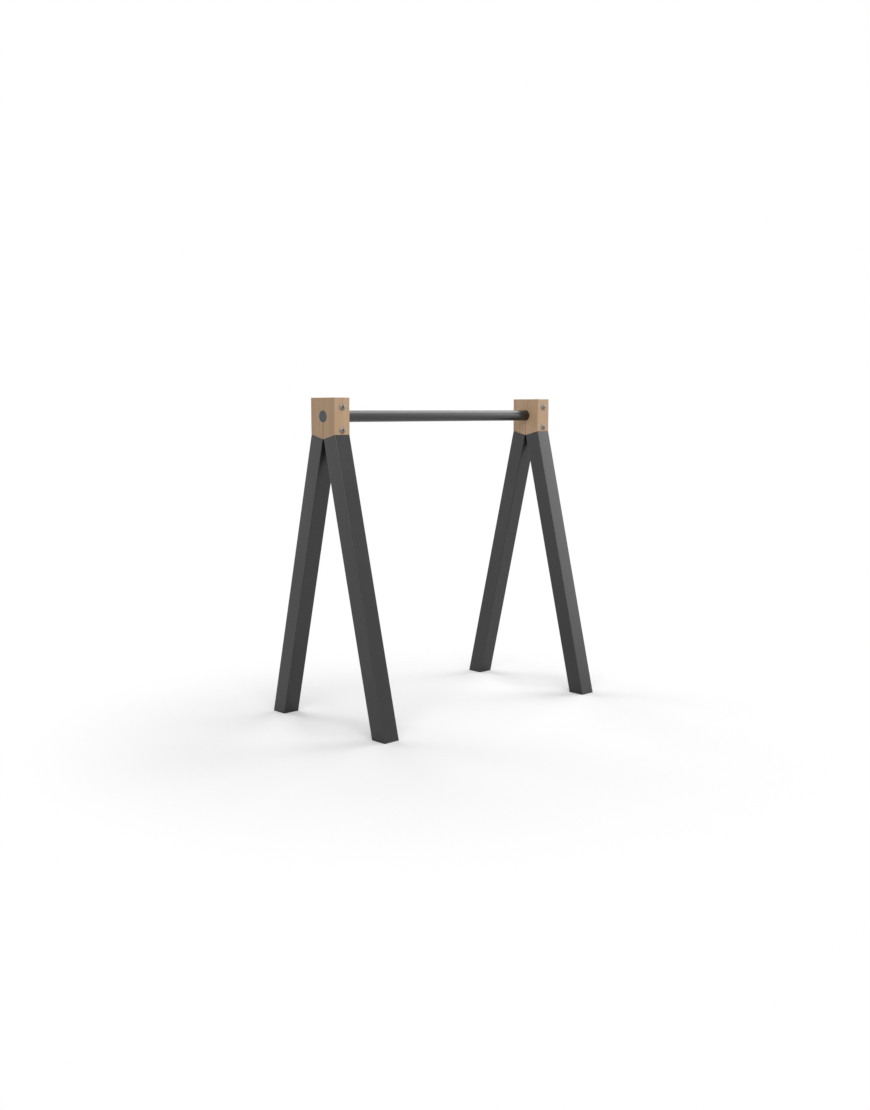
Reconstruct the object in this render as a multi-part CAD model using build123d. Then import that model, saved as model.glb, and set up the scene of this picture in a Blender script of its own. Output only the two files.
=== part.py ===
from build123d import *
import os
from math import cos, radians, sin, sqrt, tan

# Folding sawhorse: two A-frames joined by one round bar. Each A-frame is a wooden head of
# two half blocks, clamped round the bar, and two square tube legs. The legs bear on the V
# under the head when they are open, and fold inwards about a pin just below the V's tip.
# Millimetres, +Z up, X along the bar, -Y the front. The origin is on the floor, in the
# middle between the four feet. The model stands open, as it is used.

# Overall
height = 710.0                      # floor to the heads' top faces
length = 672.0                      # over the heads' outer end faces
lean_degrees = 13.68                # each leg's lean from upright, when open

# Legs: square tube
leg_width = 40.0
leg_wall = 2.0
leg_corner_radius = 1.5
leg_bore_corner_radius = 0.8
leg_tip_gap = 3.0                   # between the two legs' inner top corners

# Crossbar: round tube
bar_diameter = 25.0
bar_wall = 2.0
bar_clearance = 0.05                # radial, in the heads

# Heads: heights down the front face, and the half blocks' edges
top_to_upper_bolt = 19.5            # top face to the upper bolt's axis
upper_bolt_to_bar = 7.6             # upper bolt's axis to the bar's surface
bar_to_lower_bolt = 16.1            # bar's surface to the lower bolt's axis
lower_bolt_to_shoulder = 9.9        # lower bolt's axis to the V's outer edge
seam_relief = 0.25                  # each half stands back this much from the bar down
edge_easing = 0.8                   # sanded outer edges
tip_chamfer = 0.9                   # where the seam leaves the V's tip

# Cross bolts and sleeve nuts: domed heads with a hex recess
bolt_diameter = 6.0
bolt_hole_clearance = 0.2           # radial, in wood and in the hinge plate
thread_clearance = 0.02             # radial, in the sleeve nut
thread_reach = 18.0                 # bolt's length inside the sleeve nut
sleeve_diameter = 8.0
sleeve_setback = 6.5                # sleeve nut's end to the seam
sleeve_bore_spare = 2.0             # bore left ahead of the bolt's end
bolt_head_diameter = 14.5
bolt_head_height = 3.2
bolt_head_rim = 0.7                 # straight edge under the dome
bolt_key_size = 5.0                 # across the recess's flats
bolt_key_depth = 2.2

# Hinge: six knuckles side by side, two on each leg and two on the plate
knuckle_width = 3.0
knuckle_gap = 0.2                   # side clearance between neighbours
knuckle_radius = 4.2
knuckle_clearance = 0.5             # knuckle's rim to the legs' inner faces
pin_diameter = 4.0
pin_running_clearance = 0.05        # radial, in the legs' knuckles
pin_seat_clearance = 0.01           # radial, in the plate's knuckles
pin_head_diameter = 7.0
pin_head_thickness = 1.2
pin_end_length = 1.4                # pin beyond the clip
clip_diameter = 8.0
clip_thickness = 0.8
clip_mouth = 2.8                    # the opening that slips over the groove
clip_groove_depth = 0.4
clip_clearance = 0.05
plate_thickness = 2.0
plate_to_bar = 5.5                  # plate's top edge to the bar's surface
plate_corner_radius = 3.0
plate_pocket_clearance = 0.2        # round the plate's edges, in the half blocks

# Hinge block in each leg's top end, and its screw
block_recess = 0.5                  # block's top below the tube's end
block_length = 40.0
block_clearance = 0.1               # each side, in the tube
block_roof = 19.0                   # solid top that carries the knuckles
block_wall = 7.0
slot_clearance = 0.3                # round each knuckle, in the tube's inner wall
screw_drop = 27.0                   # tube's end to the screw's axis
screw_offset = 8.0                  # screw's axis beside the tube's middle
screw_diameter = 5.0
screw_length = 12.0
screw_hole_clearance = 0.2          # radial, in the tube's wall
screw_head_diameter = 9.5
screw_head_height = 2.75
screw_head_rim = 0.6
screw_key_size = 3.0
screw_key_depth = 1.6

# Plastic plugs: feet and bar ends, each a lip or flange, a core and gripping fins
foot_lip = 1.5
foot_core_wall_gap = 2.5            # core to the tube's inner wall, bridged by the fins
foot_plug_depth = 24.0
foot_fin_count = 3
foot_fin_thickness = 1.6
bar_flange = 1.5
bar_flange_easing = 0.4
bar_core_wall_gap = 2.0
bar_plug_depth = 22.0
bar_fin_count = 3
bar_fin_thickness = 1.4
plug_clearance = 0.05               # fins to the tube's inner wall

# Places that follow from the sizes above
lean = radians(lean_degrees)
bar_radius = bar_diameter / 2
head_half_width = leg_width * cos(lean) + leg_tip_gap / 2
head_thickness = leg_width
head_x = length / 2 - head_thickness / 2
upper_bolt_z = height - top_to_upper_bolt
bar_z = upper_bolt_z - upper_bolt_to_bar - bar_radius
lower_bolt_z = bar_z - bar_radius - bar_to_lower_bolt
shoulder_z = lower_bolt_z - lower_bolt_to_shoulder
tip_z = shoulder_z - head_half_width * tan(lean)

# The pin lies in the middle plane, as far from both legs' inner faces as a knuckle needs.
inner_face_to_pin = knuckle_radius + knuckle_clearance
inner_corner_z = shoulder_z - leg_width * sin(lean)
corner_to_pin_drop = (inner_face_to_pin - leg_tip_gap / 2 * cos(lean)) / sin(lean)
pin_z = inner_corner_z - corner_to_pin_drop
pin_along_leg = corner_to_pin_drop * cos(lean) - leg_tip_gap / 2 * sin(lean)

knuckle_pitch = knuckle_width + knuckle_gap
knuckle_x = [(slot - 2.5) * knuckle_pitch for slot in range(6)]
front_leg_knuckle_x = [knuckle_x[0], knuckle_x[3]]
plate_knuckle_x = [knuckle_x[1], knuckle_x[4]]
knuckle_stack_half = 3 * knuckle_pitch - knuckle_gap / 2
plate_width = plate_knuckle_x[1] - plate_knuckle_x[0] + knuckle_width
plate_top_z = bar_z - bar_radius - plate_to_bar

pin_radius = pin_diameter / 2
leg_bore = leg_width - 2 * leg_wall
block_width = leg_bore - 2 * block_clearance
bar_bore_radius = bar_radius - bar_wall
overcut = 5.0                       # how far cutting shapes run past what they cut

# The front leg's own frame: its origin is the middle of the tube's square top end, z runs
# down the leg and y points out of the outer wall.
leg_frame = Plane(
    origin=(
        0,
        -head_half_width + leg_width / 2 * cos(lean),
        shoulder_z - leg_width / 2 * sin(lean),
    ),
    x_dir=(1, 0, 0),
    z_dir=(0, -sin(lean), -cos(lean)),
)
leg_reach = shoulder_z / cos(lean) + leg_width      # runs past the floor, and is cut level
inner_wall_y = -leg_width / 2
pin_local_y = inner_wall_y - inner_face_to_pin


def rod(radius, start, end):
    """A round rod between two points."""
    axis = Vector(end) - Vector(start)
    placed = Plane(origin=start, z_dir=axis)
    return placed * Cylinder(radius, axis.length, align=(Align.CENTER, Align.CENTER, Align.MIN))


def block_between(low, high):
    """A box between its lowest and highest corners."""
    size = Vector(high) - Vector(low)
    centre = (Vector(high) + Vector(low)) / 2
    return Pos(*centre) * Box(size.X, size.Y, size.Z)


def square_bar(width, corner_radius, start, end):
    """A square bar with rounded corners, along z."""
    outline = Plane.XY.offset(start) * RectangleRounded(width, width, corner_radius)
    return extrude(outline, amount=end - start)


def level_slice(solid, low_z, high_z):
    """What a solid has between two levels."""
    reach = length + leg_reach
    return solid & block_between((-reach, -reach, low_z), (reach, reach, high_z))


def domed_head(diameter, head_height, rim, key_size, key_depth):
    """A domed screw head on the XY plane, facing +z, with a hex recess."""
    radius = diameter / 2
    crown = head_height - rim
    dome_radius = (radius**2 + crown**2) / (2 * crown)
    dome = Pos(0, 0, head_height - dome_radius) * Sphere(dome_radius)
    head = rod(radius, (0, 0, 0), (0, 0, head_height)) & dome
    recess_floor = Plane.XY.offset(head_height - key_depth)
    recess = extrude(recess_floor * RegularPolygon(key_size / sqrt(3), 6), amount=key_depth + overcut)
    return head - recess


def head_half(bolt_hole_radius):
    """The front half block, with holes for whatever fastener enters from its own side."""
    outline = Polyline(
        (0, height),
        (-head_half_width, height),
        (-head_half_width, shoulder_z),
        (0, tip_z),
        close=True,
    )
    half = extrude(Plane.YZ * make_face(outline), amount=head_thickness / 2, both=True)
    outer_edges = half.edges().filter_by(lambda edge: edge.center().Y < -edge_easing)
    half = fillet(outer_edges, edge_easing)
    side = head_thickness / 2
    below_tip = Polyline(
        (0, tip_z + tip_chamfer),
        (-tip_chamfer, tip_z + tip_chamfer * tan(lean)),
        (-tip_chamfer, tip_z - overcut),
        (0, tip_z - overcut),
        close=True,
    )
    half -= extrude(Plane.YZ * make_face(below_tip), amount=side + overcut, both=True)
    half -= rod(bar_radius + bar_clearance, (-side - overcut, 0, bar_z), (side + overcut, 0, bar_z))
    half -= block_between(
        (-side - overcut, -seam_relief, tip_z - overcut), (side + overcut, overcut, bar_z)
    )
    pocket_side = plate_width / 2 + plate_pocket_clearance
    half -= block_between(
        (-pocket_side, -plate_thickness / 2, tip_z - overcut),
        (pocket_side, overcut, plate_top_z + plate_pocket_clearance),
    )
    for bolt_z in (upper_bolt_z, lower_bolt_z):
        half -= rod(bolt_hole_radius, (0, -head_half_width - overcut, bolt_z), (0, overcut, bolt_z))
    return half


def sleeve_nut(bolt_z):
    """A sleeve nut from the front face, with a blind bore open towards the seam."""
    face = Plane(origin=(0, -head_half_width, bolt_z), x_dir=(1, 0, 0), z_dir=(0, -1, 0))
    head = face * domed_head(
        bolt_head_diameter, bolt_head_height, bolt_head_rim, bolt_key_size, bolt_key_depth
    )
    shank = rod(sleeve_diameter / 2, (0, -head_half_width, bolt_z), (0, -sleeve_setback, bolt_z))
    bore_end = -sleeve_setback - thread_reach - sleeve_bore_spare
    bore = rod(bolt_diameter / 2 + thread_clearance, (0, bore_end, bolt_z), (0, 0, bolt_z))
    return head + shank - bore


def cross_bolt(bolt_z):
    """A bolt from the back face, through the seam and into the sleeve nut."""
    face = Plane(origin=(0, head_half_width, bolt_z), x_dir=(-1, 0, 0), z_dir=(0, 1, 0))
    head = face * domed_head(
        bolt_head_diameter, bolt_head_height, bolt_head_rim, bolt_key_size, bolt_key_depth
    )
    bolt_end = -sleeve_setback - thread_reach
    return head + rod(bolt_diameter / 2, (0, head_half_width, bolt_z), (0, bolt_end, bolt_z))


def hinge_plate():
    """The plate in the seam, with its two knuckles below the V's tip."""
    half = plate_width / 2
    plate = block_between((-half, -plate_thickness / 2, tip_z), (half, plate_thickness / 2, plate_top_z))
    top_corners = plate.edges().filter_by(Axis.Y).group_by(Axis.Z)[-1]
    plate = fillet(top_corners, plate_corner_radius)
    hole_radius = bolt_diameter / 2 + bolt_hole_clearance
    plate -= rod(hole_radius, (0, -overcut, lower_bolt_z), (0, overcut, lower_bolt_z))
    for x in plate_knuckle_x:
        low = x - knuckle_width / 2
        high = x + knuckle_width / 2
        finger = block_between(
            (low, -plate_thickness / 2, pin_z), (high, plate_thickness / 2, tip_z)
        )
        knuckle = finger + rod(knuckle_radius, (low, 0, pin_z), (high, 0, pin_z))
        plate += knuckle - rod(
            pin_radius + pin_seat_clearance, (low - overcut, 0, pin_z), (high + overcut, 0, pin_z)
        )
    return plate


def hinge_pin():
    """The pin through all six knuckles: a head at one end and a clip's groove at the other."""
    head_end = -knuckle_stack_half - knuckle_gap
    groove_start = knuckle_stack_half + knuckle_gap
    groove_end = groove_start + clip_thickness + clip_clearance
    pin_end = groove_end + pin_end_length
    pin = rod(pin_radius, (head_end, 0, pin_z), (pin_end, 0, pin_z))
    pin += rod(pin_head_diameter / 2, (head_end - pin_head_thickness, 0, pin_z), (head_end, 0, pin_z))
    ring = rod(pin_radius + overcut, (groove_start, 0, pin_z), (groove_end, 0, pin_z))
    groove_radius = pin_radius - clip_groove_depth
    return pin - (ring - rod(groove_radius, (groove_start, 0, pin_z), (groove_end, 0, pin_z)))


def pin_clip():
    """A flat spring clip in the pin's groove, open downwards."""
    start = knuckle_stack_half + knuckle_gap + clip_clearance / 2
    end = start + clip_thickness
    clip = rod(clip_diameter / 2, (start, 0, pin_z), (end, 0, pin_z))
    seat_radius = pin_radius - clip_groove_depth + clip_clearance
    clip -= rod(seat_radius, (start - overcut, 0, pin_z), (end + overcut, 0, pin_z))
    return clip - block_between(
        (start - overcut, -clip_mouth / 2, pin_z - clip_diameter),
        (end + overcut, clip_mouth / 2, pin_z),
    )


def leg_tube():
    """The front leg: square at the top, cut level above the foot plug's lip."""
    tube = square_bar(leg_width, leg_corner_radius, 0, leg_reach)
    tube -= square_bar(leg_bore, leg_bore_corner_radius, -overcut, leg_reach + overcut)
    slot_half = knuckle_width / 2 + slot_clearance
    slot_end = pin_along_leg + knuckle_radius + slot_clearance
    for x in front_leg_knuckle_x:
        tube -= block_between(
            (x - slot_half, inner_wall_y - overcut, -overcut),
            (x + slot_half, inner_wall_y + leg_wall + overcut, slot_end),
        )
    hole_radius = screw_diameter / 2 + screw_hole_clearance
    tube -= rod(
        hole_radius, (-screw_offset, inner_wall_y - overcut, screw_drop), (-screw_offset, 0, screw_drop)
    )
    return level_slice(leg_frame * tube, foot_lip, height)


def hinge_block():
    """The casting in the leg's top end, with its two knuckles beyond the inner wall."""
    end = block_recess + block_length
    block = square_bar(block_width, leg_bore_corner_radius, block_recess, end)
    cavity_width = block_width - 2 * block_wall
    block -= square_bar(cavity_width, block_wall / 2, block_recess + block_roof, end + overcut)
    for x in front_leg_knuckle_x:
        low = x - knuckle_width / 2
        high = x + knuckle_width / 2
        arm = block_between(
            (low, pin_local_y, pin_along_leg - knuckle_radius),
            (high, -block_width / 2 + block_clearance, pin_along_leg + knuckle_radius),
        )
        block += arm + rod(
            knuckle_radius, (low, pin_local_y, pin_along_leg), (high, pin_local_y, pin_along_leg)
        )
    stack = knuckle_stack_half + overcut
    block -= rod(
        pin_radius + pin_running_clearance,
        (-stack, pin_local_y, pin_along_leg),
        (stack, pin_local_y, pin_along_leg),
    )
    hole_radius = screw_diameter / 2 + thread_clearance
    block -= rod(
        hole_radius, (-screw_offset, inner_wall_y, screw_drop), (-screw_offset, 0, screw_drop)
    )
    return leg_frame * block


def block_screw():
    """The screw that holds the hinge block, from the leg's inner wall."""
    seat = (-screw_offset, inner_wall_y, screw_drop)
    tip = (-screw_offset, inner_wall_y + screw_length, screw_drop)
    head = Plane(origin=seat, x_dir=(1, 0, 0), z_dir=(0, -1, 0)) * domed_head(
        screw_head_diameter, screw_head_height, screw_head_rim, screw_key_size, screw_key_depth
    )
    return leg_frame * (head + rod(screw_diameter / 2, seat, tip))


def foot_plug():
    """The plug in the leg's foot end: the floor carries its lip, and its fins grip the tube."""
    lip = square_bar(leg_width, leg_corner_radius, 0, leg_reach)
    plug = level_slice(leg_frame * lip, 0, foot_lip)
    top_z = foot_lip + foot_plug_depth
    core_width = leg_bore - 2 * foot_core_wall_gap
    core = square_bar(core_width, leg_bore_corner_radius, 0, leg_reach)
    plug += level_slice(leg_frame * core, foot_lip, top_z)
    fin_width = leg_bore - 2 * plug_clearance
    fins = leg_frame * square_bar(fin_width, leg_bore_corner_radius, 0, leg_reach)
    for count in range(1, foot_fin_count + 1):
        fin_z = foot_lip + foot_plug_depth * count / (foot_fin_count + 1)
        plug += level_slice(fins, fin_z - foot_fin_thickness / 2, fin_z + foot_fin_thickness / 2)
    return plug


def crossbar():
    """The tube through both heads, short of their outer faces by the plugs' flanges."""
    end = length / 2 - bar_flange
    tube = rod(bar_radius, (-end, 0, bar_z), (end, 0, bar_z))
    return tube - rod(bar_bore_radius, (-end - overcut, 0, bar_z), (end + overcut, 0, bar_z))


def crossbar_plug():
    """The plug in the bar's right end: its flange is flush with the head's outer face."""
    face_x = length / 2
    seat_x = face_x - bar_flange
    flange = rod(bar_radius, (seat_x, 0, bar_z), (face_x, 0, bar_z))
    plug = chamfer(flange.edges().group_by(Axis.X)[-1], bar_flange_easing)
    core_radius = bar_bore_radius - bar_core_wall_gap
    plug += rod(core_radius, (seat_x - bar_plug_depth, 0, bar_z), (seat_x, 0, bar_z))
    fin_radius = bar_bore_radius - plug_clearance
    for count in range(1, bar_fin_count + 1):
        fin_x = seat_x - bar_plug_depth * count / (bar_fin_count + 1)
        fin_half = bar_fin_thickness / 2
        plug += rod(fin_radius, (fin_x - fin_half, 0, bar_z), (fin_x + fin_half, 0, bar_z))
    return plug


# Everything at a head is made in the middle plane, and then set at each end of the bar. What
# belongs to the back is the front's turned half a turn about the upright axis.
half_turn = Rot(0, 0, 180)
front_half = head_half(sleeve_diameter / 2 + bolt_hole_clearance)
back_half = half_turn * head_half(bolt_diameter / 2 + bolt_hole_clearance)
head_pieces = {
    "head_front_half": front_half,
    "head_back_half": back_half,
    "upper_sleeve_nut": sleeve_nut(upper_bolt_z),
    "lower_sleeve_nut": sleeve_nut(lower_bolt_z),
    "upper_cross_bolt": cross_bolt(upper_bolt_z),
    "lower_cross_bolt": cross_bolt(lower_bolt_z),
    "hinge_plate": hinge_plate(),
    "hinge_pin": hinge_pin(),
    "pin_clip": pin_clip(),
}
leg_pieces = {
    "leg_tube": leg_tube(),
    "leg_hinge_block": hinge_block(),
    "leg_block_screw": block_screw(),
    "leg_foot_plug": foot_plug(),
}
parts = {"crossbar": crossbar()}
for end_name, end_x in (("left", -head_x), ("right", head_x)):
    at_end = Pos(end_x, 0, 0)
    for piece_name, piece in head_pieces.items():
        parts[f"{end_name}_{piece_name}"] = at_end * piece
    for leg_name, turn in (("front", Rot(0, 0, 0)), ("back", half_turn)):
        for piece_name, piece in leg_pieces.items():
            parts[f"{end_name}_{leg_name}_{piece_name}"] = at_end * turn * piece
right_plug = crossbar_plug()
parts["right_crossbar_plug"] = right_plug
parts["left_crossbar_plug"] = half_turn * right_plug

os.makedirs("parts", exist_ok=True)
for node, piece in parts.items():
    export_step(piece, f"parts/{node}.step")
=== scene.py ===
from math import acos, asin, cos, pi, radians, sin, sqrt, tan

import bmesh
import bpy
from mathutils import Matrix, Vector


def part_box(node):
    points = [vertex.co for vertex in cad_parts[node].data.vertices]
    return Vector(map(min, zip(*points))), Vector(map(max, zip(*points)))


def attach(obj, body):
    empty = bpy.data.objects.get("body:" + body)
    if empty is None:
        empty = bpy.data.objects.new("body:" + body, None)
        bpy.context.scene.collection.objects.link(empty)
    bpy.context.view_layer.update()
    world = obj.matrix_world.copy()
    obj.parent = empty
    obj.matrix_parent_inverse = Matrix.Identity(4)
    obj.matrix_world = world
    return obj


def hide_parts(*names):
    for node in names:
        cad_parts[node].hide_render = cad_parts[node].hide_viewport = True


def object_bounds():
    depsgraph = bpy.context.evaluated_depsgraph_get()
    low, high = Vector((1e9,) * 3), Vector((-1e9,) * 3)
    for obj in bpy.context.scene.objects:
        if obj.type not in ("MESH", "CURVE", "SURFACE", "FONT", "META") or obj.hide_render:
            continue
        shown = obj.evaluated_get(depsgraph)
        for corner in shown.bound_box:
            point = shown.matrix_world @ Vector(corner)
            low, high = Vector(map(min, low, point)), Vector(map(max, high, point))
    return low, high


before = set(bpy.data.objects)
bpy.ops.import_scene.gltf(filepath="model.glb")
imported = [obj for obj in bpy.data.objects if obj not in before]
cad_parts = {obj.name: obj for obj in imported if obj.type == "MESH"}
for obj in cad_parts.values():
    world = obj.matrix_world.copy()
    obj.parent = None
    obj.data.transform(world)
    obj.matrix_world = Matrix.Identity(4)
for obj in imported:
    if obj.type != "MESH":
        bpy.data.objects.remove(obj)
bpy.context.view_layer.update()
cad_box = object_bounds()
mm = 0.001


# Camera
# It stands in front and to the left, a little below the tops of the heads, and looks slightly
# down, so that the left head's end face and the fronts of all four legs show.
view_position = Vector((-1.9276, -2.0351, 0.6852))
view_turn = radians(43.29)
view_drop = radians(6.859)
lens_length = 39.262
camera = bpy.data.objects.new("camera", bpy.data.cameras.new("camera"))
camera.data.lens = lens_length
camera.location = view_position
camera.rotation_euler = (pi / 2 - view_drop, 0, -view_turn)
bpy.context.scene.collection.objects.link(camera)
bpy.context.scene.camera = camera


# Crossbar
# One straight round steel tube joins the two heads. It is powder coated dark grey, a shade
# lighter than the legs, runs right through both heads and is held by their clamping halves.
bar_low, bar_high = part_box("crossbar")
bar_z = (bar_low.z + bar_high.z) / 2
bar_radius = (bar_high.z - bar_low.z) / 2
bar_half_length = bar_high.x
bar_wall = 2 * mm
tube_end_easing = 0.35 * mm
round_steps = 128
crease_angle = radians(38)


def eased(outline, radius, closed=True, steps=5):
    """The outline, with an arc of this radius in place of each corner."""
    count = len(outline)
    rounded = []
    for index, corner in enumerate(outline):
        if not closed and index in (0, count - 1):
            rounded.append(corner)
            continue
        point = Vector(corner)
        before = (Vector(outline[index - 1]) - point).normalized()
        after = (Vector(outline[(index + 1) % count]) - point).normalized()
        half_angle = acos(max(-1, min(1, before.dot(after)))) / 2
        centre = point + (before + after).normalized() * radius / sin(half_angle)
        first = point + before * radius / tan(half_angle) - centre
        last = point + after * radius / tan(half_angle) - centre
        for step in range(steps + 1):
            spoke = first.lerp(last, step / steps).normalized() * radius
            rounded.append(tuple(centre + spoke))
    return rounded


def new_piece(name, shape):
    """A new object from a shape that has been built up, which is then cleared away."""
    mesh = bpy.data.meshes.new(name)
    shape.to_mesh(mesh)
    shape.free()
    piece = bpy.data.objects.new(name, mesh)
    bpy.context.scene.collection.objects.link(piece)
    return piece


def lathe(name, profile, closed=False, steps=round_steps):
    """Turns a profile of (radius, height) points about the Z axis, into a new piece."""
    shape = bmesh.new()
    rings = []
    for radius, height in profile:
        if radius == 0:
            rings.append([shape.verts.new((0, 0, height))])
            continue
        angles = [2 * pi * step / steps for step in range(steps)]
        rings.append([shape.verts.new((radius * cos(a), radius * sin(a), height)) for a in angles])
    pairs = list(zip(rings, rings[1:]))
    if closed:
        pairs.append((rings[-1], rings[0]))
    for lower, upper in pairs:
        for step in range(steps):
            after = step + 1
            corners = [
                lower[step % len(lower)],
                lower[after % steps % len(lower)],
                upper[after % steps % len(upper)],
                upper[step % len(upper)],
            ]
            shape.faces.new(dict.fromkeys(corners))
    bmesh.ops.recalc_face_normals(shape, faces=shape.faces)
    return new_piece(name, shape)


def add_node(tree, kind, inputs=None, **settings):
    """Adds a shader node. An input takes a plain value or another node's output."""
    made = tree.nodes.new("ShaderNode" + kind)
    for name, value in settings.items():
        setattr(made, name, value)
    for name, value in (inputs or {}).items():
        if isinstance(value, bpy.types.NodeSocket):
            tree.links.new(value, made.inputs[name])
        else:
            made.inputs[name].default_value = value
    return made


def new_finish(name):
    """A new material: its node tree, its shader, and the place on the piece in metres."""
    material = bpy.data.materials.new(name)
    material.use_nodes = True
    tree = material.node_tree
    place = add_node(tree, "TexCoord").outputs["Object"]
    return material, tree, tree.nodes["Principled BSDF"], place


def stretched(tree, place, scale, shift=(0, 0, 0), turn=(0, 0, 0)):
    """The place on the piece, scaled along each axis into a pattern's own units."""
    return add_node(
        tree, "Mapping", {"Vector": place, "Scale": scale, "Location": shift, "Rotation": turn}
    ).outputs["Vector"]


def noise(tree, place, scale, detail=2.0, roughness=0.5):
    """Soft noise from 0 to 1, with this many features to the unit."""
    return add_node(
        tree,
        "TexNoise",
        {"Vector": place, "Scale": scale, "Detail": detail, "Roughness": roughness},
    ).outputs["Fac"]


def between(tree, value, low, high, from_low=0.0, to_high=1.0):
    """A value's way from low to high, as a share that starts and ends where the last two say."""
    return add_node(
        tree,
        "MapRange",
        {"Value": value, 1: low, 2: high, 3: from_low, 4: to_high},
        interpolation_type="SMOOTHSTEP",
    ).outputs[0]


def sums(tree, operation, first, second):
    """Arithmetic on two values."""
    return add_node(tree, "Math", {0: first, 1: second}, operation=operation).outputs[0]


def mixed(tree, share, first, second):
    """A colour between two, the second at a share of 1."""
    return add_node(tree, "Mix", {0: share, 6: first, 7: second}, data_type="RGBA").outputs[2]


def shade(colour, share):
    """A colour, darker or lighter by this share."""
    return [min(1, channel * share) for channel in colour[:3]] + [1]


def bump(tree, height, strength, distance, below=None):
    """A relief from a height, laid over another relief where one is given."""
    inputs = {"Height": height, "Strength": strength, "Distance": distance}
    if below is not None:
        inputs["Normal"] = below
    return add_node(tree, "Bump", inputs).outputs["Normal"]


def edge_wear(tree, radius, breakup):
    """Where an edge has been rubbed: 1 on sharp edges, broken up by a noise."""
    rounded = add_node(tree, "Bevel", {"Radius": radius}, samples=4).outputs["Normal"]
    flat = add_node(tree, "NewGeometry").outputs["Normal"]
    turned = add_node(tree, "VectorMath", {0: rounded, 1: flat}, operation="DOT_PRODUCT")
    edge = between(tree, turned.outputs["Value"], 0.995, 0.86)
    return sums(tree, "MULTIPLY", edge, breakup)


def powder_coat(name, colour, worn_and_highlight_colour, roughness, gloss, long_corners=False):
    """Baked polyester powder: satin, with a fine orange-peel skin, rubbed edges, and on tubes
    paler corners that are partly a painted highlight.
    """
    material, tree, shader, place = new_finish(name)
    cloud = noise(tree, place, 11, detail=3)
    speckle = noise(tree, place, 1900, detail=2)
    tint = mixed(tree, between(tree, cloud, 0.3, 0.7), colour, shade(colour, 1.07))
    tint = mixed(tree, between(tree, speckle, 0.62, 0.42), tint, shade(colour, 0.94))
    rub = between(tree, noise(tree, place, 160, detail=4, roughness=0.65), 0.30, 0.58, 0.35)
    wear = edge_wear(tree, 0.9 * mm, rub)
    if long_corners:
        # The tube's rounded corners are paler along their whole length: partly rubbed wear, partly
        # a painted highlight
        facing = add_node(tree, "TexCoord").outputs["Normal"]
        across = add_node(tree, "SeparateXYZ", {0: facing}).outputs["X"]
        sideways = sums(tree, "ABSOLUTE", across, 0.0)
        off_front = between(tree, sideways, 0.08, 0.35)
        off_side = between(tree, sideways, 0.99, 0.92)
        corner = sums(tree, "MULTIPLY", off_front, off_side)
        wear = sums(tree, "MAXIMUM", wear, sums(tree, "MULTIPLY", corner, rub))
    # The worn colour goes on rubbed edges, and on the tube's long corners it is also a painted
    # highlight
    tint = mixed(tree, sums(tree, "MULTIPLY", wear, 0.75), tint, worn_and_highlight_colour)
    tree.links.new(tint, shader.inputs["Base Color"])
    satin = between(tree, cloud, 0.25, 0.75, roughness - 0.025, roughness + 0.025)
    satin = sums(tree, "ADD", satin, sums(tree, "MULTIPLY", wear, 0.08))
    tree.links.new(satin, shader.inputs["Roughness"])
    shader.inputs["Specular IOR Level"].default_value = gloss
    peel = noise(tree, place, 620, detail=1.5, roughness=0.45)
    ripple = bump(tree, peel, 0.4, 0.005 * mm)
    tree.links.new(bump(tree, speckle, 0.3, 0.0012 * mm, ripple), shader.inputs["Normal"])
    return material


def finish_piece(piece, finish):
    """Gives a made piece its material, smooth faces and creased edges."""
    piece.data.materials.clear()
    piece.data.materials.append(finish)
    piece.data.polygons.foreach_set("use_smooth", [True] * len(piece.data.polygons))
    piece.data.set_sharp_from_angle(angle=crease_angle)
    evener = piece.modifiers.new("even_shading", "WEIGHTED_NORMAL")
    evener.keep_sharp = True


bar_bore = bar_radius - bar_wall
bar_wall_outline = [
    (bar_bore, -bar_half_length),
    (bar_radius, -bar_half_length),
    (bar_radius, bar_half_length),
    (bar_bore, bar_half_length),
]
bar = lathe("bar", eased(bar_wall_outline, tube_end_easing), closed=True)
bar.location = (0, 0, bar_z)
bar.rotation_euler = (0, pi / 2, 0)
bar_coat = powder_coat(
    "bar_powder_coat_finish",
    (0.0100, 0.0102, 0.0104, 1),
    (0.05, 0.05, 0.05, 1),
    roughness=0.29,
    gloss=0.62,
)
finish_piece(bar, bar_coat)
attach(bar, "trestle_top")
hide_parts("crossbar")


# Crossbar plugs
# A moulded grey plastic plug closes each end of the bar. Its flange is as wide as the bar and
# flush with the head's end face, and the core behind it grips the bore with three fins.
plug_flange = 1.5 * mm
plug_rim_width = 1.8 * mm
plug_dish_depth = 0.35 * mm
plug_edge_easing = 0.12 * mm
plug_core_gap = 2 * mm
plug_core_length = 22 * mm
plug_fins = 3
plug_fin_thickness = 1.4 * mm
plug_fin_clearance = 0.05 * mm


def moulded_plastic(name, colour, roughness):
    """Injection-moulded plastic with a fine spark-eroded grain and a slight mottle."""
    material, tree, shader, place = new_finish(name)
    grain = noise(tree, place, 2600, detail=3, roughness=0.6)
    mottle = noise(tree, place, 90, detail=2)
    tint = mixed(tree, between(tree, mottle, 0.3, 0.7), colour, shade(colour, 1.12))
    rub = between(tree, noise(tree, place, 240, detail=4), 0.4, 0.65)
    wear = edge_wear(tree, 0.4 * mm, rub)
    tint = mixed(tree, sums(tree, "MULTIPLY", wear, 0.6), tint, shade(colour, 1.9))
    tree.links.new(tint, shader.inputs["Base Color"])
    dull = between(tree, mottle, 0.25, 0.75, roughness - 0.04, roughness + 0.04)
    tree.links.new(dull, shader.inputs["Roughness"])
    shader.inputs["Specular IOR Level"].default_value = 0.35
    tree.links.new(bump(tree, grain, 0.4, 0.015 * mm), shader.inputs["Normal"])
    return material


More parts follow.
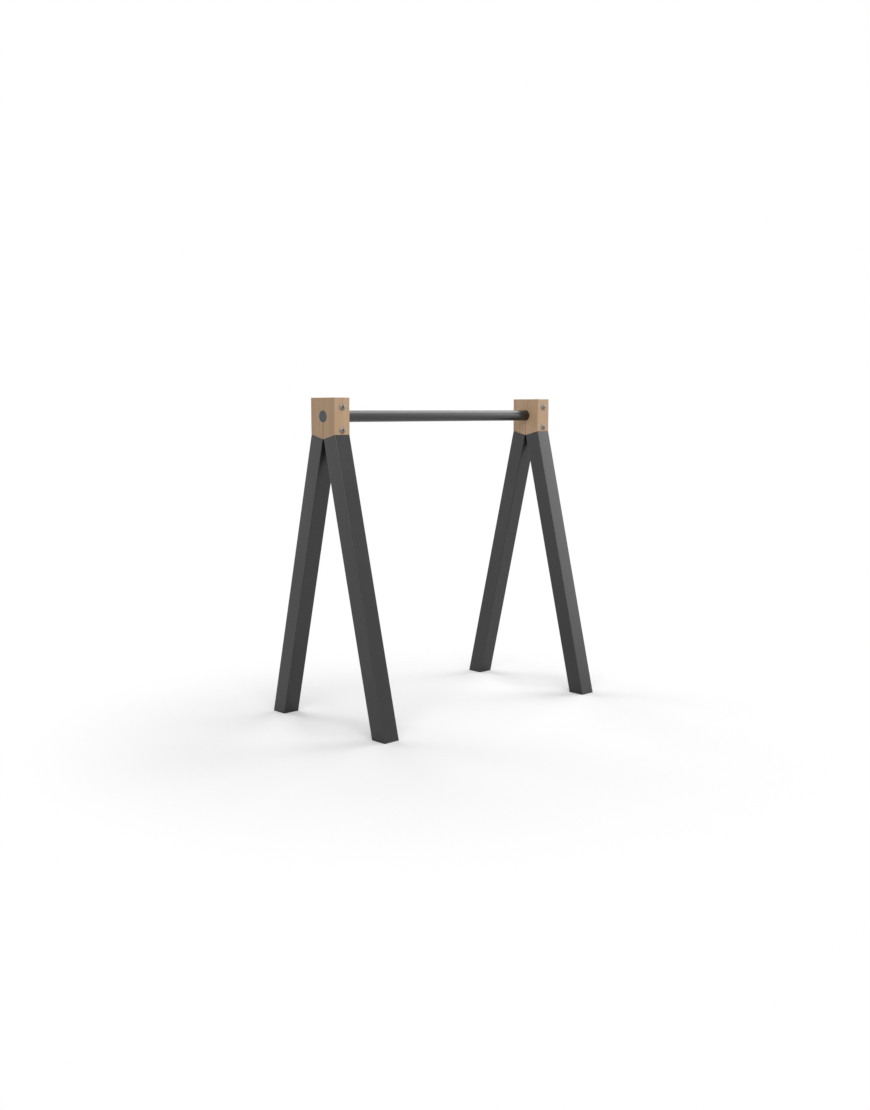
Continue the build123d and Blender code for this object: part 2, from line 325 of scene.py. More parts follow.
plug_core_radius = bar_bore - plug_core_gap
plug_fin_radius = bar_bore - plug_fin_clearance
plug_rim_radius = bar_radius - plug_rim_width
plug_outline = [
    (0, -plug_dish_depth),
    (plug_rim_radius, -plug_dish_depth),
    (plug_rim_radius + plug_dish_depth, 0),
    (bar_radius, 0),
    (bar_radius, -plug_flange),
    (plug_core_radius, -plug_flange),
]
for count in range(1, plug_fins + 1):
    fin_height = -plug_flange - plug_core_length * count / (plug_fins + 1)
    fin_front = fin_height + plug_fin_thickness / 2
    fin_back = fin_height - plug_fin_thickness / 2
    plug_outline += [
        (plug_core_radius, fin_front),
        (plug_fin_radius, fin_front),
        (plug_fin_radius, fin_back),
        (plug_core_radius, fin_back),
    ]
plug_tail = -plug_flange - plug_core_length
plug_outline += [(plug_core_radius, plug_tail), (0, plug_tail)]
grey_plastic = moulded_plastic("grey_plastic_finish", (0.044, 0.049, 0.050, 1), 0.45)
for side, x, turn in (("left", cad_box[0].x, -pi / 2), ("right", cad_box[1].x, pi / 2)):
    plug = lathe(f"{side}_bar_plug", eased(plug_outline, plug_edge_easing, closed=False, steps=3))
    plug.location = (x, 0, bar_z)
    plug.rotation_euler = (0, turn, 0)
    finish_piece(plug, grey_plastic)
    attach(plug, "trestle_top")
    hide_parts(f"{side}_crossbar_plug")


# Head half blocks
# Each head is two blocks of steamed beech with the grain upright, sanded at the edges. They
# clamp the bar between them, and their undersides make a V that the open legs bear on.
head_low, head_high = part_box("left_head_front_half")
head_top = head_high.z
head_half_width = head_high.y - head_low.y
head_thickness = head_high.x - head_low.x
head_x = (bar_half_length + plug_flange) - head_thickness / 2
head_places = (("left", -head_x), ("right", head_x))
shoulder_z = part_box("left_front_leg_tube")[1].z
lean = radians(13.68)
tip_z = shoulder_z - head_half_width * tan(lean)
tip_chamfer = 0.9 * mm
seam_relief = 0.3 * mm
seam_shade_reach = 1.3 * mm
wood_easing = 0.8 * mm
bore_clearance = 0.05 * mm
bore_easing = 0.4 * mm
overcut = 5 * mm
plate_low, plate_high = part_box("left_hinge_plate")
plate_pocket_clearance = 0.2 * mm
plate_half_thickness = 1 * mm
sleeve_hole_radius = 4.2 * mm
bolt_hole_radius = 3.2 * mm
upper_bolt_z, lower_bolt_z = (
    sum(corner.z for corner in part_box(f"left_{level}_sleeve_nut")) / 2
    for level in ("upper", "lower")
)
ring_spacing = 3.4 * mm
pale_wood = (0.432, 0.290, 0.178, 1)
deeper_wood = (0.382, 0.250, 0.149, 1)
ring_brown = (0.286, 0.173, 0.094, 1)
fibre_sheen = (0.485, 0.340, 0.221, 1)
pore_brown = (0.212, 0.122, 0.066, 1)
fleck_brown = (0.233, 0.126, 0.064, 1)
end_grain_brown = (0.217, 0.126, 0.067, 1)
seam_shade_brown = (0.150, 0.088, 0.047, 1)
handled_wood_and_highlight = (0.518, 0.378, 0.256, 1)


def box_cutter(low, high):
    """A box between its lowest and highest corners, to cut with."""
    shape = bmesh.new()
    middle = Matrix.Translation((Vector(low) + Vector(high)) / 2)
    size = Matrix.Diagonal([*(Vector(high) - Vector(low)), 1])
    bmesh.ops.create_cube(shape, size=1, matrix=middle @ size)
    return new_piece("cutter", shape)


def hole_cutter(profile, place, turn, steps=round_steps):
    """A turned shape to cut with, set in place."""
    cutter = lathe("cutter", profile, steps=steps)
    cutter.location = place
    cutter.rotation_euler = turn
    return cutter


def make_fast(piece):
    """Turns what a piece's modifiers make into its own mesh."""
    bpy.context.view_layer.update()
    graph = bpy.context.evaluated_depsgraph_get()
    piece.data = bpy.data.meshes.new_from_object(piece.evaluated_get(graph))
    piece.modifiers.clear()


def carve(piece, cutters):
    """Cuts the cutters' shapes out of a piece, and clears the cutters away."""
    for cutter in cutters:
        cut = piece.modifiers.new("cut", "BOOLEAN")
        cut.object = cutter
        cut.solver = "EXACT"
    make_fast(piece)
    for cutter in cutters:
        bpy.data.objects.remove(cutter)


def half_block(name, hole_radius):
    """A front half block, in the head's own middle plane."""
    side = head_thickness / 2
    outline = [
        (0, head_top),
        (-head_half_width, head_top),
        (-head_half_width, shoulder_z),
        (-tip_chamfer, tip_z + tip_chamfer * tan(lean)),
        (0, tip_z + tip_chamfer),
    ]
    shape = bmesh.new()
    ends = [[shape.verts.new((x, y, z)) for y, z in outline] for x in (-side, side)]
    for end in ends:
        shape.faces.new(end)
    for index in range(len(outline)):
        after = (index + 1) % len(outline)
        shape.faces.new((ends[0][index], ends[0][after], ends[1][after], ends[1][index]))
    bmesh.ops.recalc_face_normals(shape, faces=shape.faces)
    seam_side = -1.5 * tip_chamfer
    eased_edges = [
        edge for edge in shape.edges if min(vertex.co.y for vertex in edge.verts) < seam_side
    ]
    bmesh.ops.bevel(
        shape,
        geom=eased_edges,
        offset=wood_easing,
        offset_type="OFFSET",
        segments=5,
        profile=0.5,
        affect="EDGES",
    )
    block = new_piece(name, shape)
    bore = bar_radius + bore_clearance
    reach = side + overcut
    bore_profile = [
        (0, -reach),
        (bore + bore_easing, -reach),
        (bore + bore_easing, -side),
        (bore, bore_easing - side),
        (bore, side - bore_easing),
        (bore + bore_easing, side),
        (bore + bore_easing, reach),
        (0, reach),
    ]
    pocket_side = (plate_high.x - plate_low.x) / 2 + plate_pocket_clearance
    pocket_top = plate_high.z + plate_pocket_clearance
    below_tip = tip_z - overcut
    cutters = [
        hole_cutter(bore_profile, (0, 0, bar_z), (0, pi / 2, 0)),
        box_cutter((-reach, -seam_relief, below_tip), (reach, overcut, bar_z)),
        box_cutter(
            (-pocket_side, -plate_half_thickness, below_tip), (pocket_side, overcut, pocket_top)
        ),
    ]
    hole_profile = [
        (0, -overcut),
        (hole_radius, -overcut),
        (hole_radius, head_half_width + overcut),
        (0, head_half_width + overcut),
    ]
    for hole_z in (upper_bolt_z, lower_bolt_z):
        cutters.append(hole_cutter(hole_profile, (0, 0, hole_z), (pi / 2, 0, 0), steps=48))
    carve(block, cutters)
    return block


def ring_scale(spacing):
    """The wave texture's scale for rings this far apart."""
    return 2 * pi / 20 / spacing


def beech(name, pith, turn):
    """Steamed beech: growth rings about a pith to one side, upright fibres and ray flecks."""
    material, tree, shader, place = new_finish(name)
    # Growth rings: pale early wood that darkens to a fine line
    trunk = stretched(tree, place, (1, 1, 0.05), shift=pith, turn=turn)
    rings = add_node(
        tree,
        "TexWave",
        {
            "Vector": trunk,
            "Scale": ring_scale(ring_spacing),
            "Distortion": 1.6,
            "Detail": 2.0,
            "Detail Scale": 0.35,
            "Detail Roughness": 0.4,
        },
        wave_type="RINGS",
        rings_direction="Z",
        wave_profile="SAW",
    ).outputs["Fac"]
    late_wood = between(tree, rings, 0.35, 0.97)
    # Broad bands, fibres and pores, all drawn out along the grain
    band = noise(tree, trunk, 75, detail=1)
    fibre = noise(tree, stretched(tree, place, (1, 1, 0.035)), 1100, detail=5, roughness=0.62)
    pores = noise(tree, stretched(tree, place, (1, 1, 0.06), shift=(0.3, 0.1, 0)), 5200, detail=1)
    fleck_cells = add_node(
        tree,
        "TexVoronoi",
        {"Vector": stretched(tree, place, (620, 620, 150)), "Scale": 1.0, "Randomness": 1.0},
    ).outputs["Distance"]
    flecks = between(tree, fleck_cells, 0.2, 0.08)
    tint = mixed(tree, between(tree, band, 0.25, 0.75), pale_wood, deeper_wood)
    tint = mixed(tree, sums(tree, "MULTIPLY", late_wood, 0.42), tint, ring_brown)
    tint = mixed(tree, between(tree, fibre, 0.35, 0.72, 0.0, 0.38), tint, fibre_sheen)
    tint = mixed(tree, between(tree, pores, 0.60, 0.72, 0.0, 0.35), tint, pore_brown)
    tint = mixed(tree, sums(tree, "MULTIPLY", flecks, 0.38), tint, fleck_brown)
    # End grain drinks the finish and is darker
    facing = add_node(tree, "TexCoord").outputs["Normal"]
    upward = add_node(tree, "SeparateXYZ", {0: facing}).outputs["Z"]
    end_grain = between(tree, sums(tree, "ABSOLUTE", upward, 0.0), 0.5, 0.85)
    tint = mixed(tree, sums(tree, "MULTIPLY", end_grain, 0.30), tint, end_grain_brown)
    # Painted shade darkens the wood along the open seam under the bar
    spot = add_node(tree, "SeparateXYZ", {0: place}).outputs
    from_seam = sums(tree, "ABSOLUTE", spot["Y"], 0.0)
    by_seam = between(tree, from_seam, seam_shade_reach, seam_relief)
    below_bar = between(tree, spot["Z"], bar_z, bar_z - bar_radius)
    seam_shade_share = sums(tree, "MULTIPLY", sums(tree, "MULTIPLY", by_seam, below_bar), 0.55)
    tint = mixed(tree, seam_shade_share, tint, seam_shade_brown)
    # Handling has paled the edges, and the paler edges are partly a painted highlight
    rub = between(tree, noise(tree, place, 120, detail=4, roughness=0.6), 0.35, 0.65)
    wear = edge_wear(tree, 0.9 * mm, rub)
    tint = mixed(tree, sums(tree, "MULTIPLY", wear, 0.25), tint, handled_wood_and_highlight)
    tree.links.new(tint, shader.inputs["Base Color"])
    dull = between(tree, fibre, 0.3, 0.75, 0.50, 0.64)
    tree.links.new(dull, shader.inputs["Roughness"])
    shader.inputs["Specular IOR Level"].default_value = 0.35
    raised = bump(tree, fibre, 0.35, 0.06 * mm)
    pitted = bump(tree, pores, 0.25, -0.03 * mm, raised)
    tree.links.new(bump(tree, late_wood, 0.2, 0.03 * mm, pitted), shader.inputs["Normal"])
    return material


block_cuts = {
    ("left", "front"): ((0.095, 0.060, 0.0), (0.020, 0.015, 0.0)),
    ("left", "back"): ((-0.070, 0.105, 0.2), (-0.015, 0.020, 0.0)),
    ("right", "front"): ((0.040, 0.120, 0.4), (0.012, -0.020, 0.0)),
    ("right", "back"): ((-0.115, 0.045, 0.6), (0.018, 0.012, 0.0)),
}
for (side, face), (pith, grain_turn) in block_cuts.items():
    hole_radius = sleeve_hole_radius if face == "front" else bolt_hole_radius
    block = half_block(f"{side}_{face}_half_block", hole_radius)
    block.location = (-head_x if side == "left" else head_x, 0, 0)
    block.rotation_euler = (0, 0, 0 if face == "front" else pi)
    finish_piece(block, beech(f"{side}_{face}_beech", pith, grain_turn))
    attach(block, "trestle_top")
    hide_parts(f"{side}_head_{face}_half")


# Sleeve nuts and cross bolts
# Two plated steel bolts clamp each head. A sleeve nut enters from the front and its bolt from
# the back, and both have the same low domed head with a hexagon recess.
bolt_head_radius = 7.25 * mm
bolt_head_height = 3.2 * mm
bolt_head_rim = 0.7 * mm
bolt_key_size = 5 * mm
bolt_key_depth = 2.2 * mm
tool_mark_spacing = 0.22 * mm
bolt_tool_mark_depth = 0.01 * mm
key_turn = radians(11)
key_mouth = 0.35 * mm
bolt_radius = 3 * mm
bolt_point = bolt_radius / 4
sleeve_radius = 4 * mm
sleeve_setback = 6.5 * mm
sleeve_bore_radius = 3.02 * mm
sleeve_bore_depth = 20 * mm
bolt_end_y = -24.5 * mm


def screw(name, head_radius, head_height, rim, key_size, key_depth, shank):
    """A domed head with a hexagon recess, above z = 0, and its shank below."""
    crown = head_height - rim
    dome_radius = (head_radius**2 + crown**2) / (2 * crown)
    dome_half_angle = asin(head_radius / dome_radius)
    dome_steps = 14
    profile = []
    for step in range(dome_steps + 1):
        angle = dome_half_angle * step / dome_steps
        drop = dome_radius * (1 - cos(angle))
        profile.append((dome_radius * sin(angle), head_height - drop))
    profile[0] = (0, head_height)
    edge = 0.1 * mm
    seat_chamfer = 0.15 * mm
    profile[-1] = (head_radius - edge, rim + edge * 0.875)
    profile += [
        (head_radius, rim - edge),
        (head_radius, seat_chamfer),
        (head_radius - seat_chamfer, 0),
    ]
    piece = lathe(name, profile + shank, steps=96)
    key_radius = key_size / sqrt(3)
    mouth_radius = key_radius + 2 * key_mouth
    key_profile = [
        (0, head_height - key_depth),
        (key_radius, head_height - key_depth),
        (key_radius, head_height - 2 * key_mouth),
        (mouth_radius, head_height),
        (mouth_radius, head_height + overcut),
        (0, head_height + overcut),
    ]
    carve(piece, [hole_cutter(key_profile, (0, 0, 0), (0, 0, key_turn), steps=6)])
    return piece


def turned_steel(name, colour, roughness, ring_depth, head_height, key_size):
    """Plated steel, turned on a lathe: fine rings about its axis, and painted shade in the recess.
    """
    material, tree, shader, place = new_finish(name)
    rings = add_node(
        tree,
        "TexWave",
        {
            "Vector": place,
            "Scale": ring_scale(tool_mark_spacing),
            "Distortion": 1.2,
            "Detail": 2.0,
        },
        wave_type="RINGS",
        rings_direction="Z",
    ).outputs["Fac"]
    smudge = noise(tree, place, 330, detail=4, roughness=0.6)
    stain = noise(tree, place, 90, detail=2)
    tint = mixed(tree, between(tree, smudge, 0.35, 0.7), colour, shade(colour, 0.72))
    tint = mixed(tree, between(tree, stain, 0.45, 0.75, 0.0, 0.5), tint, shade(colour, 0.6))
    rub = between(tree, noise(tree, place, 500, detail=3), 0.35, 0.6)
    wear = edge_wear(tree, 0.3 * mm, rub)
    tint = mixed(tree, sums(tree, "MULTIPLY", wear, 0.5), tint, shade(colour, 1.5))
    # The recess is darkened with painted shade, and made duller
    level = stretched(tree, place, (1, 1, 0))
    off_axis = add_node(tree, "VectorMath", {0: level}, operation="LENGTH").outputs["Value"]
    in_reach = between(tree, off_axis, key_size * 0.66, key_size * 0.56)
    height = add_node(tree, "SeparateXYZ", {0: place}).outputs["Z"]
    sunk = between(tree, height, head_height - 0.25 * mm, head_height - 0.9 * mm)
    painted_recess_shade = sums(tree, "MULTIPLY", in_reach, sunk)
    tint = mixed(tree, sums(tree, "MULTIPLY", painted_recess_shade, 0.2), tint, (0.02, 0.018, 0.016, 1))
    tree.links.new(tint, shader.inputs["Base Color"])
    shader.inputs["Metallic"].default_value = 1.0
    dull = between(tree, smudge, 0.3, 0.75, roughness - 0.07, roughness + 0.08)
    dull = sums(tree, "ADD", dull, sums(tree, "MULTIPLY", painted_recess_shade, 0.25))
    tree.links.new(dull, shader.inputs["Roughness"])
    tree.links.new(bump(tree, rings, 0.3, ring_depth), shader.inputs["Normal"])
    return material


sleeve_end = sleeve_setback - head_half_width
sleeve_shank = [
    (sleeve_radius, 0),
    (sleeve_radius, sleeve_end),
    (sleeve_bore_radius, sleeve_end),
    (sleeve_bore_radius, sleeve_end + sleeve_bore_depth),
    (0, sleeve_end + sleeve_bore_depth),
]
bolt_end = bolt_end_y - head_half_width
bolt_shank = [
    (bolt_radius, 0),
    (bolt_radius, bolt_end + bolt_point),
    (bolt_radius - bolt_point, bolt_end),
    (0, bolt_end),
]
bolt_steel = turned_steel(
    "bolt_steel_finish",
    (0.232, 0.212, 0.191, 1),
    0.62,
    bolt_tool_mark_depth,
    bolt_head_height,
    bolt_key_size,
)
bolt_halves = (("front", "sleeve_nut", sleeve_shank), ("back", "cross_bolt", bolt_shank))
for side, x in head_places:
    for level, z in (("upper", upper_bolt_z), ("lower", lower_bolt_z)):
        for face, kind, shank in bolt_halves:
            bolt = screw(
                f"{side}_{level}_{face}_{kind}",
                bolt_head_radius,
                bolt_head_height,
                bolt_head_rim,
                bolt_key_size,
                bolt_key_depth,
                shank,
            )
            outward = -1 if face == "front" else 1
            bolt.location = (x, outward * head_half_width, z)
            bolt.rotation_euler = (-outward * pi / 2, 0, 0)
            finish_piece(bolt, bolt_steel)
            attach(bolt, "trestle_top")
            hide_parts(f"{side}_{level}_{kind}")


# Hinge plates, pins and clips
# A zinc-plated plate hangs in each head's seam, held by the lower bolt, and its two knuckles
# carry the legs' knuckles on one pin. The pin has a flat head and is kept by a spring clip.
pin_low, pin_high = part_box("left_hinge_pin")
clip_low, clip_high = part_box("left_pin_clip")
pin_radius = 2 * mm
pin_head_radius = 3.5 * mm
pin_head_thickness = 1.2 * mm
pin_groove_depth = 0.4 * mm
pin_easing = 0.1 * mm
clip_side_play = 0.025 * mm
plate_easing = 0.25 * mm
clip_easing = 0.1 * mm


def zinc_plate(name, colour, roughness):
    """Bright zinc plating over rolled or drawn steel: cloudy, with fine drawn lines."""
    material, tree, shader, place = new_finish(name)
    cloud = noise(tree, place, 260, detail=4, roughness=0.6)
    lines = noise(tree, stretched(tree, place, (1, 1, 0.03)), 3800, detail=2)
    tint = mixed(tree, between(tree, cloud, 0.3, 0.7), colour, shade(colour, 0.7))
    rub = between(tree, noise(tree, place, 420, detail=3), 0.35, 0.6)
    wear = edge_wear(tree, 0.35 * mm, rub)
    tint = mixed(tree, sums(tree, "MULTIPLY", wear, 0.6), tint, shade(colour, 1.35))
    tree.links.new(tint, shader.inputs["Base Color"])
    shader.inputs["Metallic"].default_value = 1.0
    dull = between(tree, cloud, 0.3, 0.75, roughness - 0.08, roughness + 0.08)
    tree.links.new(dull, shader.inputs["Roughness"])
    tree.links.new(bump(tree, lines, 0.25, 0.01 * mm), shader.inputs["Normal"])
    return material


def soften(node, width):
    """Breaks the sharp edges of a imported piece, whose shape is otherwise right."""
    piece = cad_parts[node]
    flatten = piece.modifiers.new("one_face_each", "DECIMATE")
    flatten.decimate_type = "DISSOLVE"
    flatten.angle_limit = radians(1)
    ease = piece.modifiers.new("broken_edges", "BEVEL")
    ease.width = width
    ease.segments = 2
    ease.limit_method = "ANGLE"
    ease.angle_limit = crease_angle
    evener = piece.modifiers.new("even_shading", "WEIGHTED_NORMAL")
    evener.keep_sharp = True
    return piece


hinge_steel = zinc_plate("hinge_steel_finish", (0.15, 0.15, 0.15, 1), 0.40)
pin_middle_z = (pin_low.z + pin_high.z) / 2
pin_groove_start = clip_low.x - clip_side_play + head_x
pin_groove_end = clip_high.x + clip_side_play + head_x
pin_start = pin_low.x + head_x
pin_end = pin_high.x + head_x
pin_groove_radius = pin_radius - pin_groove_depth
pin_profile = [
    (0, pin_start),
    (pin_head_radius, pin_start),
    (pin_head_radius, pin_start + pin_head_thickness),
    (pin_radius, pin_start + pin_head_thickness),
    (pin_radius, pin_groove_start),
    (pin_groove_radius, pin_groove_start),
    (pin_groove_radius, pin_groove_end),
    (pin_radius, pin_groove_end),
    (pin_radius, pin_end),
    (0, pin_end),
]
for side, x in head_places:
    pin = lathe(f"{side}_pin", eased(pin_profile, pin_easing, closed=False, steps=3), steps=64)
    pin.location = (x, 0, pin_middle_z)
    pin.rotation_euler = (0, pi / 2, 0)
    finish_piece(pin, hinge_steel)
    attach(pin, "trestle_top")
    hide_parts(f"{side}_hinge_pin")
    for kept, easing in (("hinge_plate", plate_easing), ("pin_clip", clip_easing)):
        soften(f"{side}_{kept}", easing).material_slots[0].material = hinge_steel


# Leg tubes
# Each leg is a length of square steel tube, 40 mm on 2 mm, powder coated dark grey. Its top end
# is cut square and bears on the V, and its foot is cut level above the plug's lip.
leg_low, leg_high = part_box("left_front_leg_tube")
leg_width = leg_high.x - leg_low.x
leg_wall = 2 * mm
leg_corner_radius = 1.5 * mm
leg_bore_corner_radius = 0.8 * mm
leg_top_y = leg_width / 2 * cos(lean) - head_half_width
leg_top_z = shoulder_z - leg_width / 2 * sin(lean)
foot_lip = leg_low.z
leg_reach = shoulder_z / cos(lean) + leg_width
rim_easing = 0.3 * mm
knuckle_width = 3 * mm
knuckle_pitch = 3.2 * mm
slot_clearance = 0.3 * mm
knuckle_places = (-2.5 * knuckle_pitch, 0.5 * knuckle_pitch)
inner_face_to_pin = 4.7 * mm
knuckle_radius = 4.2 * mm
screw_drop = 27 * mm
screw_offset = 8 * mm
screw_hole_radius = 2.7 * mm


def square_outline(width, corner_radius):
    """A square section with rounded corners."""
    half = width / 2
    corners = [(-half, -half), (half, -half), (half, half), (-half, half)]
    return eased(corners, corner_radius, steps=6)


def down_leg(level, y):
    """How far down the leg a level lies, for a point this far out across it."""
    return (leg_top_z + y * sin(lean) - level) / cos(lean)


def leg_bar(name, outline, start_overrun=0.0, end_level=None):
    """A bar of this section down the leg, its foot cut level, or running on past the floor."""
    shape = bmesh.new()
    top = [shape.verts.new((x, y, -start_overrun)) for x, y in outline]
    foot = []
    for x, y in outline:
        end = leg_reach if end_level is None else down_leg(end_level, y)
        foot.append(shape.verts.new((x, y, end)))
    shape.faces.new(top)
    shape.faces.new(foot)
    for index in range(len(outline)):
        after = (index + 1) % len(outline)
        shape.faces.new((top[index], top[after], foot[after], foot[index]))
    bmesh.ops.recalc_face_normals(shape, faces=shape.faces)
    return new_piece(name, shape)


def leg_place(x, face):
    """Takes a leg from upside down at the origin to its place in the open trestle."""
    outward = Matrix.Rotation(0 if face == "front" else pi, 4, "Z")
    head_of_leg = Matrix.Translation((0, leg_top_y, leg_top_z))
    down = Matrix.Rotation(pi - lean, 4, "X")
    return Matrix.Translation((x, 0, 0)) @ outward @ head_of_leg @ down


inner_wall_y = -leg_width / 2
pin_down_leg = down_leg(pin_middle_z, inner_wall_y - inner_face_to_pin)
slot_half = knuckle_width / 2 + slot_clearance
slot_end = pin_down_leg + knuckle_radius + slot_clearance
tube_outline = square_outline(leg_width, leg_corner_radius)
bore_outline = square_outline(leg_width - 2 * leg_wall, leg_bore_corner_radius)
screw_hole_profile = [
    (0, inner_wall_y - overcut),
    (screw_hole_radius, inner_wall_y - overcut),
    (screw_hole_radius, 0),
    (0, 0),
]
leg_coat = powder_coat(
    "leg_powder_coat_finish",
    (0.0055, 0.0055, 0.0056, 1),
    (0.026, 0.026, 0.026, 1),
    roughness=0.26,
    gloss=0.54,
    long_corners=True,
)
for side, x in head_places:
    for face in ("front", "back"):
        tube = leg_bar(f"{side}_{face}_tube", tube_outline, end_level=foot_lip)
        cutters = [leg_bar("cutter", bore_outline, start_overrun=overcut)]
        for slot_x in knuckle_places:
            cutters.append(
                box_cutter(
                    (slot_x - slot_half, inner_wall_y - overcut, -overcut),
                    (slot_x + slot_half, inner_wall_y + leg_wall + overcut, slot_end),
                )
            )
        screw_place = (-screw_offset, 0, screw_drop)
        cutters.append(hole_cutter(screw_hole_profile, screw_place, (-pi / 2, 0, 0), steps=48))
        carve(tube, cutters)
        ease = tube.modifiers.new("softened_rims", "BEVEL")
        ease.width = rim_easing
        ease.segments = 2
        ease.limit_method = "ANGLE"
        ease.angle_limit = crease_angle
        make_fast(tube)
        tube.data.transform(leg_place(x, face))
        finish_piece(tube, leg_coat)
        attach(tube, f"{side}_{face}_leg")
        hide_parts(f"{side}_{face}_leg_tube")


# Hinge blocks
# A cast alloy block sits in each leg's top end, and its two knuckles reach the pin through
# slots in the tube's inner wall. The casting is left as cast and tumbled.
casting_easing = 0.3 * mm


def cast_alloy(name, colour):
    """Tumbled zinc alloy casting: dull grey, with a fine sandy skin and brighter edges."""
    material, tree, shader, place = new_finish(name)
    sand = noise(tree, place, 1500, detail=4, roughness=0.6)
    cloud = noise(tree, place, 140, detail=3)
    tint = mixed(tree, between(tree, cloud, 0.3, 0.7), colour, shade(colour, 0.75))
    rub = between(tree, noise(tree, place, 420, detail=3), 0.3, 0.6)
    wear = edge_wear(tree, 0.5 * mm, rub)
    tint = mixed(tree, sums(tree, "MULTIPLY", wear, 0.7), tint, shade(colour, 1.4))
    tree.links.new(tint, shader.inputs["Base Color"])
    shader.inputs["Metallic"].default_value = 1.0
    dull = between(tree, sand, 0.3, 0.7, 0.45, 0.6)
    tree.links.new(dull, shader.inputs["Roughness"])
    tree.links.new(bump(tree, sand, 0.5, 0.05 * mm), shader.inputs["Normal"])
    return material


casting = cast_alloy("cast_alloy_finish", (0.16, 0.16, 0.155, 1))
for side in ("left", "right"):
    for face in ("front", "back"):
        hinge_block = soften(f"{side}_{face}_leg_hinge_block", casting_easing)
        hinge_block.material_slots[0].material = casting


# Block screws
# One button-head screw of black steel holds each hinge block. It is put in from the leg's inner
# wall, to one side of the wall's middle and clear of the slots.
screw_radius = 2.5 * mm
screw_length = 12 * mm
screw_head_radius = 4.75 * mm
screw_head_height = 2.75 * mm
screw_head_rim = 0.6 * mm
screw_key_size = 3 * mm
screw_key_depth = 1.6 * mm
screw_tool_mark_depth = 0.006 * mm
black_oxide = turned_steel(
    "black_screw_finish",
    (0.055, 0.053, 0.050, 1),
    0.45,
    screw_tool_mark_depth,
    screw_head_height,
    screw_key_size,
)
screw_shank = [(screw_radius, 0), (screw_radius, -screw_length), (0, -screw_length)]
for side, x in head_places:
    for face in ("front", "back"):
        block_screw = screw(
            f"{side}_{face}_block_screw",
            screw_head_radius,
            screw_head_height,
            screw_head_rim,
            screw_key_size,
            screw_key_depth,
            screw_shank,
        )
        block_screw.matrix_world = (
            leg_place(x, face)
            @ Matrix.Translation((-screw_offset, inner_wall_y, screw_drop))
            @ Matrix.Rotation(pi / 2, 4, "X")
        )
        finish_piece(block_screw, black_oxide)
        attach(block_screw, f"{side}_{face}_leg")
        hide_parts(f"{side}_{face}_leg_block_screw")


# Foot plugs
# A moulded black plastic plug closes each leg's foot. Its thin lip carries the leg on the
# floor, and its fins grip the inside of the tube.
foot_plug_easing = 0.25 * mm
black_plastic = moulded_plastic("black_plastic_finish", (0.018, 0.018, 0.018, 1), 0.5)
for side in ("left", "right"):
    for face in ("front", "back"):
        foot_plug = soften(f"{side}_{face}_leg_foot_plug", foot_plug_easing)
        foot_plug.material_slots[0].material = black_plastic


# Floor and backdrop
# A pale seamless floor: near the object it takes shadows, and further off it fades into the
# white of the backdrop. The world behind it shows white and lights the object only softly.
floor_size = 60.0
floor_colour = (0.70, 0.70, 0.70, 1)
fade_centre = Vector((-0.15, -0.17, 0))
fade_start = 0.45
fade_end = 0.9
fill_light = 0.01
white = (1, 1, 1, 1)


def shown_share(tree):
    """1 where the camera sees, straight or by way of a mirror or glass, and 0 elsewhere."""
    seen = add_node(tree, "LightPath").outputs
    through = sums(tree, "MAXIMUM", seen["Is Glossy Ray"], seen["Is Transmission Ray"])
    return sums(tree, "MAXIMUM", seen["Is Camera Ray"], through)


floor_shape = bmesh.new()
bmesh.ops.create_grid(floor_shape, x_segments=8, y_segments=8, size=floor_size / 2)
floor = new_piece("floor", floor_shape)
floor_finish, floor_tree, floor_shader, floor_place = new_finish("floor_finish")
floor_shader.inputs["Base Color"].default_value = floor_colour
floor_shader.inputs["Roughness"].default_value = 0.9
floor_shader.inputs["Specular IOR Level"].default_value = 0.0
from_centre = stretched(floor_tree, floor_place, (1, 1, 1), shift=-fade_centre)
distance_out = add_node(floor_tree, "VectorMath", {0: from_centre}, operation="LENGTH")
fade = between(floor_tree, distance_out.outputs["Value"], fade_start, fade_end)
faded = sums(floor_tree, "MULTIPLY", fade, shown_share(floor_tree))
glow = add_node(floor_tree, "Emission", {"Color": white, "Strength": 1.0}).outputs[0]
floor_mix = add_node(floor_tree, "MixShader", {0: faded, 1: floor_shader.outputs[0], 2: glow})
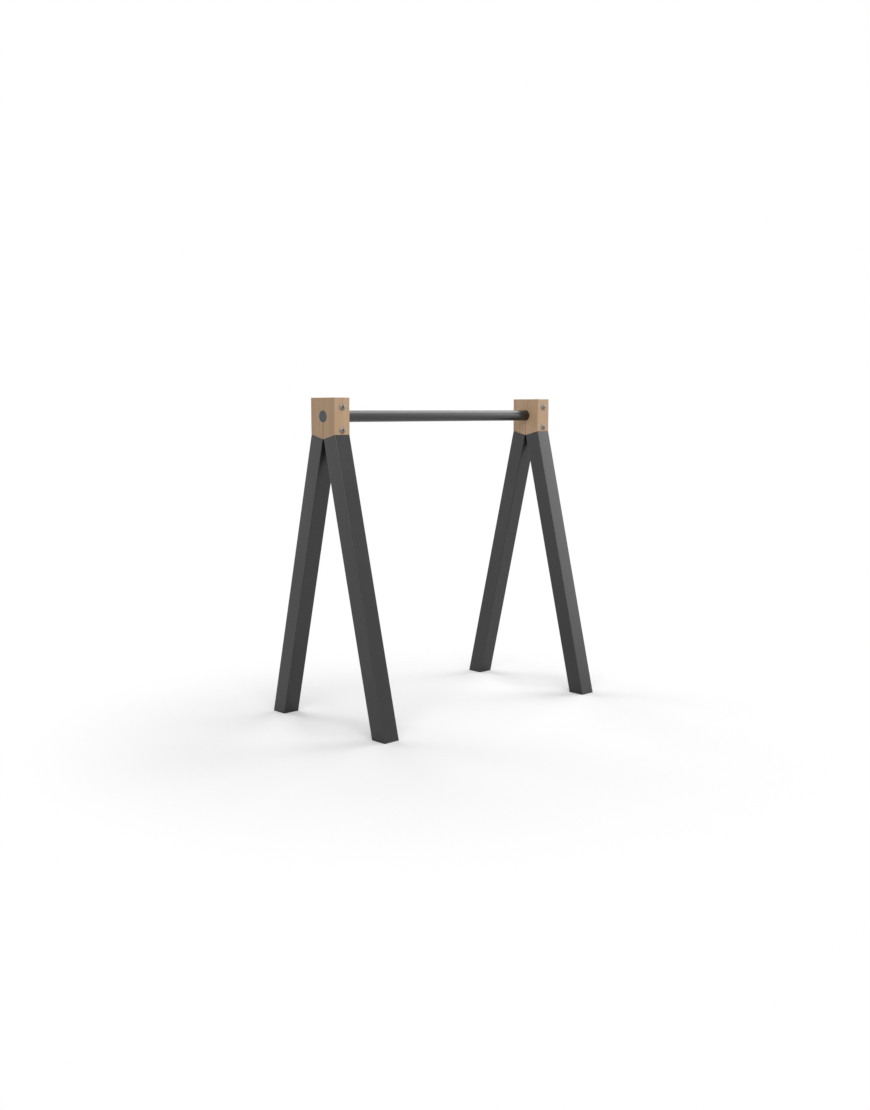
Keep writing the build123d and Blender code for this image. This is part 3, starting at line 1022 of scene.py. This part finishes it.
floor_tree.links.new(floor_mix.outputs[0], floor_tree.nodes["Material Output"].inputs["Surface"])
floor.data.materials.append(floor_finish)

world = bpy.data.worlds.new("studio")
world.use_nodes = True
bpy.context.scene.world = world
sky_tree = world.node_tree
fill = sky_tree.nodes["Background"]
fill.inputs["Color"].default_value = white
fill.inputs["Strength"].default_value = fill_light
backdrop = add_node(sky_tree, "Background", {"Color": white, "Strength": 1.0}).outputs[0]
sky_shown = shown_share(sky_tree)
sky_mix = add_node(sky_tree, "MixShader", {0: sky_shown, 1: fill.outputs[0], 2: backdrop})
sky_tree.links.new(sky_mix.outputs[0], sky_tree.nodes["World Output"].inputs["Surface"])


# Lamps
# Large square soft boxes stand round the object and one hangs over it, so that its shadows are
# soft. Each has its bearing from the front towards the right and its height, in degrees, its
# distance and width in metres, and how bright its face is.
lamp_aim = Vector((0, 0, 0.45))
soft_boxes = [
    ("front", 0, 42, 3.2, 2.6, 1.66),
    ("right_low", 65, 14, 3.2, 2.0, 1.20),
    ("right_near", 75, 15, 2.0, 1.3, 1.45),
    ("right", 90, 40, 3.2, 2.4, 2.60),
    ("back", 180, 42, 3.2, 2.6, 3.30),
    ("back_left_low", 200, 9, 3.2, 1.9, 1.15),
    ("front_left", 315, 42, 3.2, 2.6, 3.08),
    ("overhead", 0, 89.9, 2.8, 3.0, 0.82),
]
for name, bearing, height, distance, size, brightness in soft_boxes:
    lamp = bpy.data.lights.new(name, "AREA")
    lamp.shape = "SQUARE"
    lamp.size = size
    # A face of this brightness gives pi times its area in watts
    lamp.energy = pi * size**2 * brightness
    box = bpy.data.objects.new(name, lamp)
    bearing = radians(bearing)
    height = radians(height)
    out = cos(height)
    direction = Vector((sin(bearing) * out, -cos(bearing) * out, sin(height)))
    box.location = lamp_aim + direction * distance
    box.rotation_euler = direction.to_track_quat("Z", "Y").to_euler()
    box.visible_camera = False
    bpy.context.scene.collection.objects.link(box)


# Settings
# Colours show as they are lit.
bpy.context.scene.view_settings.view_transform = "Standard"
